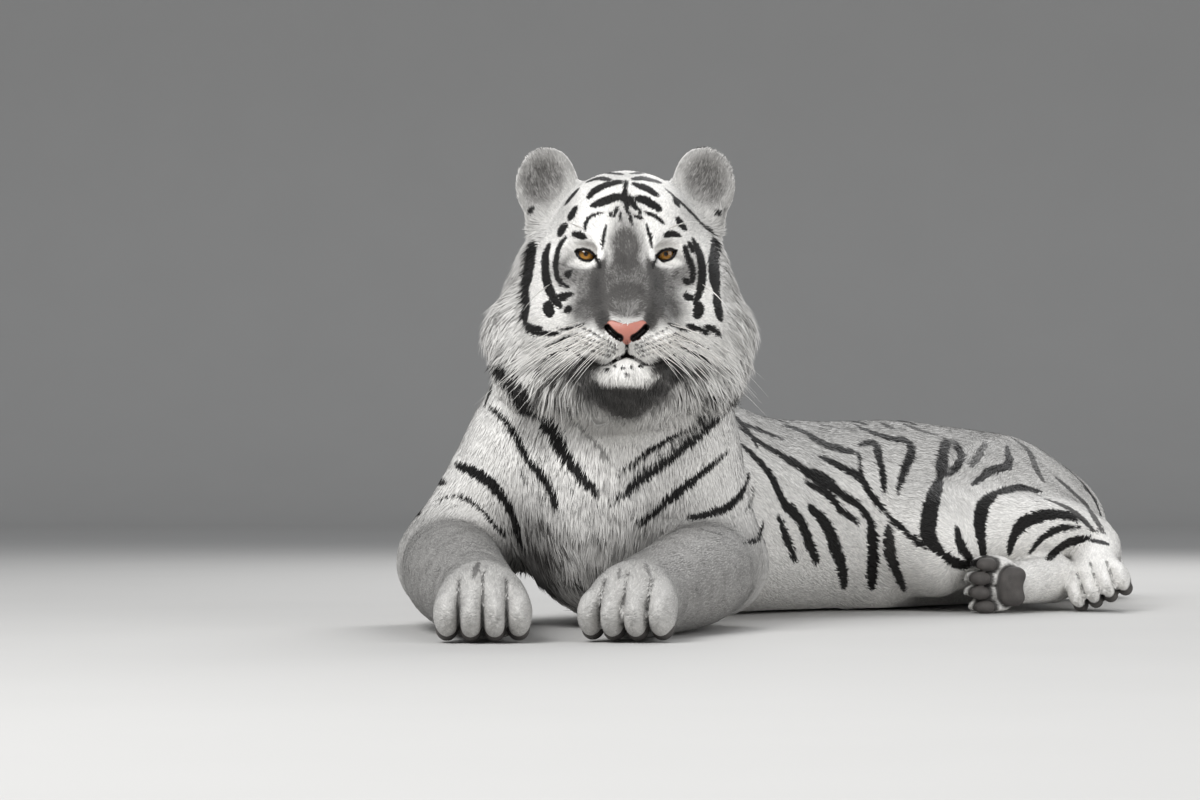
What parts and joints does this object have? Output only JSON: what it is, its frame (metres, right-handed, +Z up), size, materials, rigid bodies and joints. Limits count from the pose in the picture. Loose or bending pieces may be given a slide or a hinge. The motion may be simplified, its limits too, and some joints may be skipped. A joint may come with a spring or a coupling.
{
  "type": "white tiger",
  "caption": "Life-size white tiger lying with its head up, forelegs straight ahead, hips rolled to one side and tail laid round behind.",
  "frame": {"origin": "on the floor, under the middle of the box round the whole animal", "axes": "+Z up; the head looks along -Y and the tiger's left side is on the +X side; the trunk runs back towards +X and +Y"},
  "size_m": [1.1916, 1.9074, 0.6527],
  "materials": {
    "coat": "fur, white with black-brown stripes",
    "eye": "wet, amber iris and round black pupil",
    "nose": "moist pink skin of the nose",
    "pads": "dark, dry, wrinkled skin of the soles",
    "whiskers": "pale, smooth, slightly glossy hair"
  },
  "bodies": {
    "root": {"head": "coat", "ear_left": "coat", "ear_right": "coat", "eye_left": "eye", "eye_right": "eye", "neck": "coat", "chest": "coat", "loin": "coat", "hips": "coat", "upper_arm_left": "coat", "upper_arm_right": "coat", "forearm_left": "coat", "forearm_right": "coat", "forepaw_left": "coat", "forepaw_right": "coat", "thigh_left": "coat", "thigh_right": "coat", "shin_left": "coat", "hind_foot_left": "coat", "hind_foot_right": "coat", "tail_base": "coat", "tail_middle": "coat", "tail_tip": "coat"}
  },
  "joints": []
}
